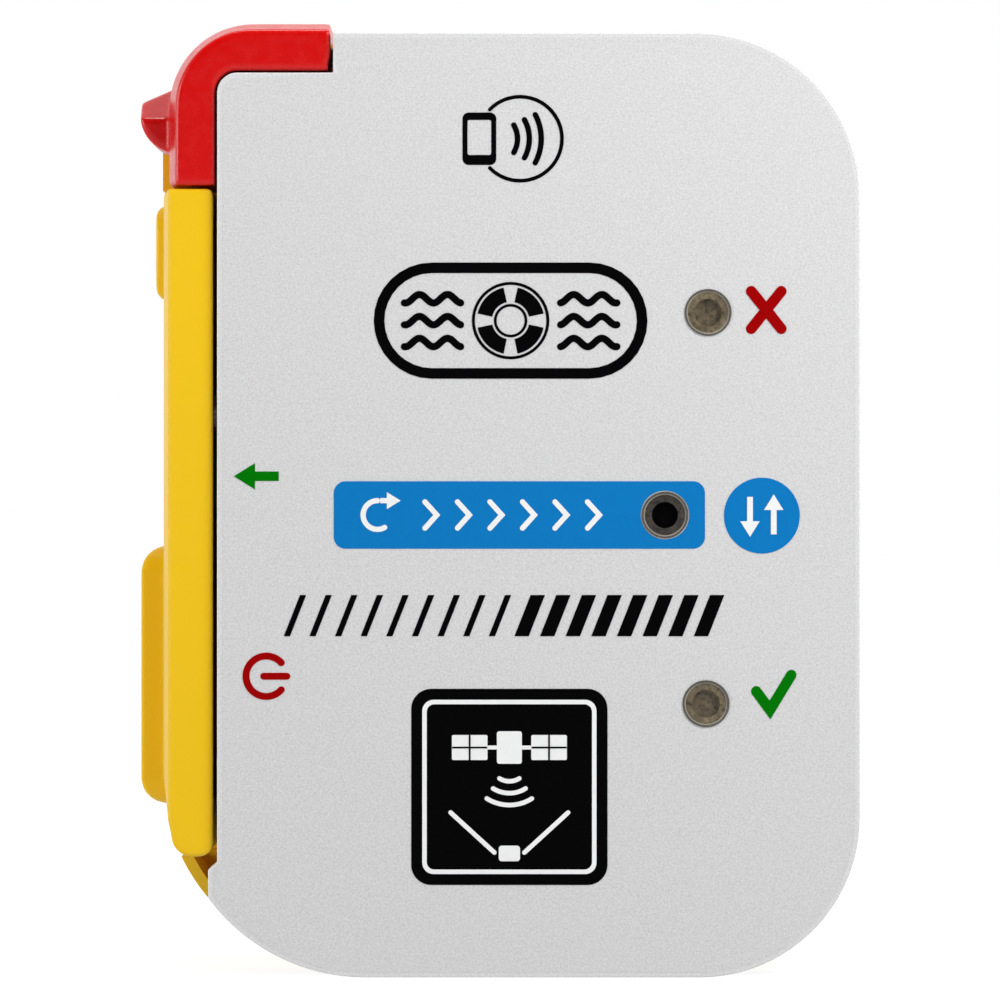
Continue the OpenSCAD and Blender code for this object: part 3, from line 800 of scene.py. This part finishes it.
def softbox(name, place, size, power):
    """White rectangular light aimed at the beacon's middle."""
    light = bpy.data.lights.new(name, "AREA")
    light.shape = "RECTANGLE"
    light.size, light.size_y = size
    light.energy = power
    obj = bpy.data.objects.new(name, light)
    obj.location = place
    bpy.context.scene.collection.objects.link(obj)
    towards = Vector((0.0, 0.0, 0.038)) - obj.location
    obj.rotation_euler = towards.to_track_quat("-Z", "Y").to_euler()


def split_rays(tree, seen, cast, surface):
    """Gives the camera's rays one shader and all other rays another."""
    ray = tree.nodes.new("ShaderNodeLightPath")
    mix = tree.nodes.new("ShaderNodeMixShader")
    tree.links.new(ray.outputs["Is Camera Ray"], mix.inputs["Fac"])
    tree.links.new(cast, mix.inputs[1])
    tree.links.new(seen, mix.inputs[2])
    tree.links.new(mix.outputs["Shader"], surface)


def studio():
    """Light tent that is dark on the camera's side, with softboxes round the beacon."""
    world = bpy.data.worlds.new("studio")
    bpy.context.scene.world = world
    world.use_nodes = True
    tree = world.node_tree
    seen = tree.nodes["Background"]
    tent = tree.nodes.new("ShaderNodeBackground")
    for background in (seen, tent):
        background.inputs["Color"].default_value = (1, 1, 1, 1)
    seen.inputs["Strength"].default_value = 1.0
    sky = tree.nodes.new("ShaderNodeTexCoord")
    towards = tree.nodes.new("ShaderNodeSeparateXYZ")
    tree.links.new(sky.outputs["Generated"], towards.inputs["Vector"])
    depth = tree.nodes.new("ShaderNodeMapRange")
    depth.inputs["From Min"].default_value = -0.9
    depth.inputs["From Max"].default_value = 0.9
    tree.links.new(towards.outputs["Y"], depth.inputs["Value"])
    curve = tree.nodes.new("ShaderNodeMath")
    curve.operation = "POWER"
    curve.inputs[1].default_value = 1.6
    tree.links.new(depth.outputs["Result"], curve.inputs[0])
    level = tree.nodes.new("ShaderNodeMapRange")
    level.inputs["To Min"].default_value = 0.06
    level.inputs["To Max"].default_value = 1.05
    tree.links.new(curve.outputs["Value"], level.inputs["Value"])
    tree.links.new(level.outputs["Result"], tent.inputs["Strength"])
    surface = tree.nodes["World Output"].inputs["Surface"]
    split_rays(tree, seen.outputs["Background"], tent.outputs["Background"], surface)

    softbox("key", (0.16, -0.18, 0.2), (0.16, 0.16), 0.68)
    softbox("fill", (-0.42, -0.26, 0.1), (0.26, 0.26), 1.08)
    softbox("top", (0.0, 0.0, 0.44), (0.19, 0.14), 0.6)
    softbox("left", (-0.45, -0.02, 0.06), (0.16, 0.2), 0.3)
    softbox("right", (0.45, -0.04, 0.06), (0.2, 0.26), 0.4)


def floor():
    """Pale floor under the beacon, which throws less light up than its own brightness."""
    pale = bpy.data.materials.new("floor")
    pale.use_nodes = True
    tree = pale.node_tree
    shader = tree.nodes["Principled BSDF"]
    shader.inputs["Base Color"].default_value = (0.22, 0.22, 0.22, 1.0)
    shader.inputs["Roughness"].default_value = 0.9
    shader.inputs["Specular IOR Level"].default_value = 0.1
    shader.inputs["Emission Color"].default_value = (1, 1, 1, 1)
    shader.inputs["Emission Strength"].default_value = 0.9
    bounce = tree.nodes.new("ShaderNodeEmission")
    bounce.inputs["Strength"].default_value = 0.72
    surface = tree.nodes["Material Output"].inputs["Surface"]
    split_rays(tree, shader.outputs["BSDF"], bounce.outputs["Emission"], surface)
    bm = bmesh.new()
    bmesh.ops.create_circle(bm, cap_ends=True, segments=96, radius=4.0)
    obj = add_piece("floor", mesh_from(bm, "floor"), pale, body=None)
    obj.location.z = -0.0001


def camera():
    """Straight at the face from 0.6 m, framing 80 mm at the face."""
    data = bpy.data.cameras.new("camera")
    data.lens = 270.0
    data.sensor_width = 36.0
    obj = bpy.data.objects.new("camera", data)
    obj.location = (-0.0012, FACE_Y - 0.6, 0.0382)
    obj.rotation_euler = (math.radians(90), 0.0, 0.0)
    bpy.context.scene.collection.objects.link(obj)
    bpy.context.scene.camera = obj


finish_slots()
soften("rear_case", 0.0008, segments=5, where=back_rim)
soften("front_cover", 0.0003)
remould("side_flap", 0.00018, 14, play=0.00006)
remould("antenna_cap", 0.00013, 30)
face_film()
face_artwork()
back_artwork()
antenna()
studio()
floor()
camera()
bpy.context.scene.view_settings.view_transform = "Standard"
